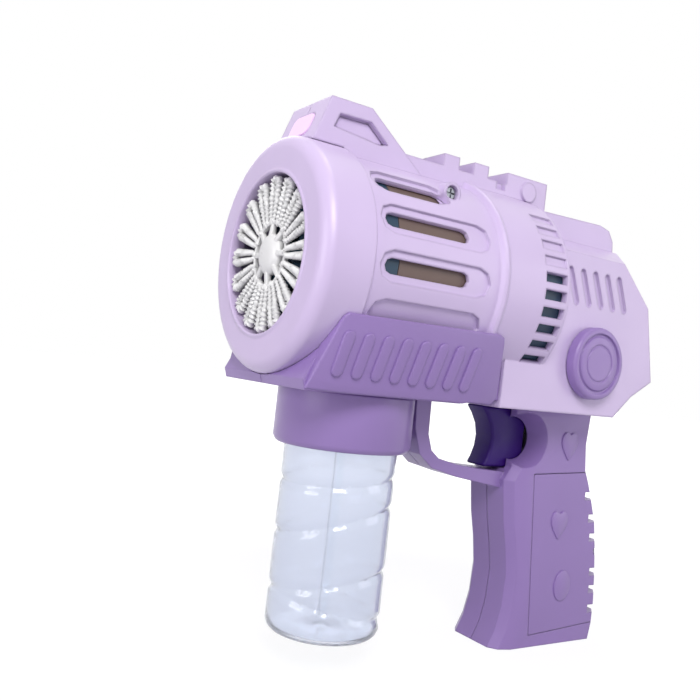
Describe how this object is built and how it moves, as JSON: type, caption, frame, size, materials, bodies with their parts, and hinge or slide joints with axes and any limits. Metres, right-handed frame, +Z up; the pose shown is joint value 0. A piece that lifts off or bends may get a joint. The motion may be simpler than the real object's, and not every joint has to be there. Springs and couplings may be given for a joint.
{
  "type": "bubble machine",
  "caption": "Trigger-fired bubble blower shaped like a ray gun, with a ribbed bubble wheel in its mouth and a screw-on liquid bottle.",
  "frame": {"origin": "centre of the bounding box in plan, at the height of the handle's flat base", "axes": "+Z up, -X the way the mouth points, -Y the side of the battery door"},
  "size_m": [0.1898, 0.0892, 0.2127],
  "materials": {
    "lavender_shell": "moulded ABS, satin gloss",
    "purple_shell": "moulded ABS, satin gloss",
    "dark_purple_trigger": "moulded ABS, satin gloss",
    "zinc_screw": "zinc-plated steel",
    "white_wheel": "moulded ABS, gloss",
    "steel_shaft": "ground steel",
    "motor_case": "plated steel can",
    "brass_part": "plain brass",
    "nylon_gear": "moulded nylon, matt",
    "teal_inner": "moulded ABS, matt",
    "brown_inner": "moulded ABS, matt",
    "grey_inner": "moulded ABS, matt",
    "clear_silicone": "clear silicone hose",
    "red_lead": "PVC insulation",
    "soft_rubber": "soft rubber, matt",
    "clear_lens": "clear polycarbonate",
    "clear_pet": "clear PET, polished",
    "board": "solder-masked board",
    "black_switch": "moulded, matt",
    "cell_sleeve": "printed steel can, plain"
  },
  "bodies": {
    "root": {"body_left": "lavender_shell", "body_right": "lavender_shell", "nose_ring": "lavender_shell", "side_cap_left": "purple_shell", "side_cap_right": "purple_shell", "cradle_left": "purple_shell", "cradle_right": "purple_shell", "bottle_collar": "purple_shell", "handle_left": "purple_shell", "handle_right": "purple_shell", "duct_screw": "zinc_screw", "housing_screw": "zinc_screw", "grip_screw_upper": "zinc_screw", "grip_screw_lower": "zinc_screw", "cradle_screw_left": "zinc_screw", "cradle_screw_right": "zinc_screw", "liquid_tray": "white_wheel", "idler_pin": "steel_shaft", "motor": "motor_case", "trigger_spring": "steel_shaft", "wheel_bush": "brass_part", "contact_top_single": "brass_part", "contact_top_double": "brass_part", "contact_low_double": "brass_part", "contact_low_single": "brass_part", "wheel_bulkhead": "teal_inner", "air_duct": "brown_inner", "motor_plate": "grey_inner", "pump_housing": "grey_inner", "pump_cover": "grey_inner", "switch_plate": "grey_inner", "battery_box": "grey_inner", "pump_tube": "clear_silicone", "dip_tube": "clear_silicone", "motor_leads": "red_lead", "lamp_leads": "red_lead", "battery_leads": "red_lead", "wiper": "soft_rubber", "lamp_lens": "clear_lens", "lamp": "clear_lens", "lamp_board": "board", "circuit_board": "board", "microswitch": "black_switch", "battery_cell_1": "cell_sleeve", "battery_cell_2": "cell_sleeve", "battery_cell_3": "cell_sleeve"},
    "wheel": {"bubble_wheel": "white_wheel", "wheel_shaft": "steel_shaft", "wheel_gear": "nylon_gear"},
    "idler": {"idler_gear": "nylon_gear"},
    "motor_rotor": {"motor_shaft": "steel_shaft", "motor_pinion": "brass_part", "fan": "grey_inner"},
    "pump_drive": {"pump_gear": "nylon_gear", "pump_rotor": "nylon_gear"},
    "trigger": {"trigger": "dark_purple_trigger"},
    "bottle_carrier": {"bottle_gasket": "soft_rubber"},
    "bottle": {"bottle": "clear_pet"},
    "battery_door": {"battery_door": "purple_shell", "door_screw": "zinc_screw"}
  },
  "joints": [
    {"name": "motor_spin", "type": "hinge", "parent": "root", "child": "motor_rotor", "pos_m": [-0.0643, 0, 0.1535], "axis": [1, 0, 0], "continuous": true},
    {"name": "wheel_spin", "type": "hinge", "parent": "root", "child": "wheel", "pos_m": [-0.0928, 0, 0.1535], "axis": [1, 0, 0], "continuous": true},
    {"name": "idler_spin", "type": "hinge", "parent": "root", "child": "idler", "pos_m": [-0.0643, 0, 0.1718], "axis": [1, 0, 0], "continuous": true},
    {"name": "pump_spin", "type": "hinge", "parent": "root", "child": "pump_drive", "pos_m": [-0.0688, 0, 0.1302], "axis": [1, 0, 0], "continuous": true},
    {"name": "trigger_pull", "type": "slide", "parent": "root", "child": "trigger", "axis": [1, 0, 0], "range_m": [0, 0.005], "stiffness_N_per_m": 400, "springref_m": -0.003, "deforming": ["trigger_spring"]},
    {"name": "bottle_unscrew", "type": "hinge", "parent": "bottle_carrier", "child": "bottle", "pos_m": [-0.0515, 0, 0.101], "axis": [0, 0, -1], "range_deg": [0, 540]},
    {"name": "bottle_lower", "type": "slide", "parent": "root", "child": "bottle_carrier", "axis": [0, 0, -1], "range_m": [0, 0.0045]},
    {"name": "door_lift_off", "type": "slide", "parent": "root", "child": "battery_door", "axis": [0, -1, 0], "range_m": [0, 0.025]}
  ],
  "couplings": [
    {"joint": "wheel_spin", "follows": "motor_spin", "ratio": 0.10989},
    {"joint": "idler_spin", "follows": "motor_spin", "ratio": -0.28571},
    {"joint": "pump_spin", "follows": "motor_spin", "ratio": -0.14286},
    {"joint": "bottle_unscrew", "follows": "bottle_lower", "rad_per_m": 2094.4}
  ]
}
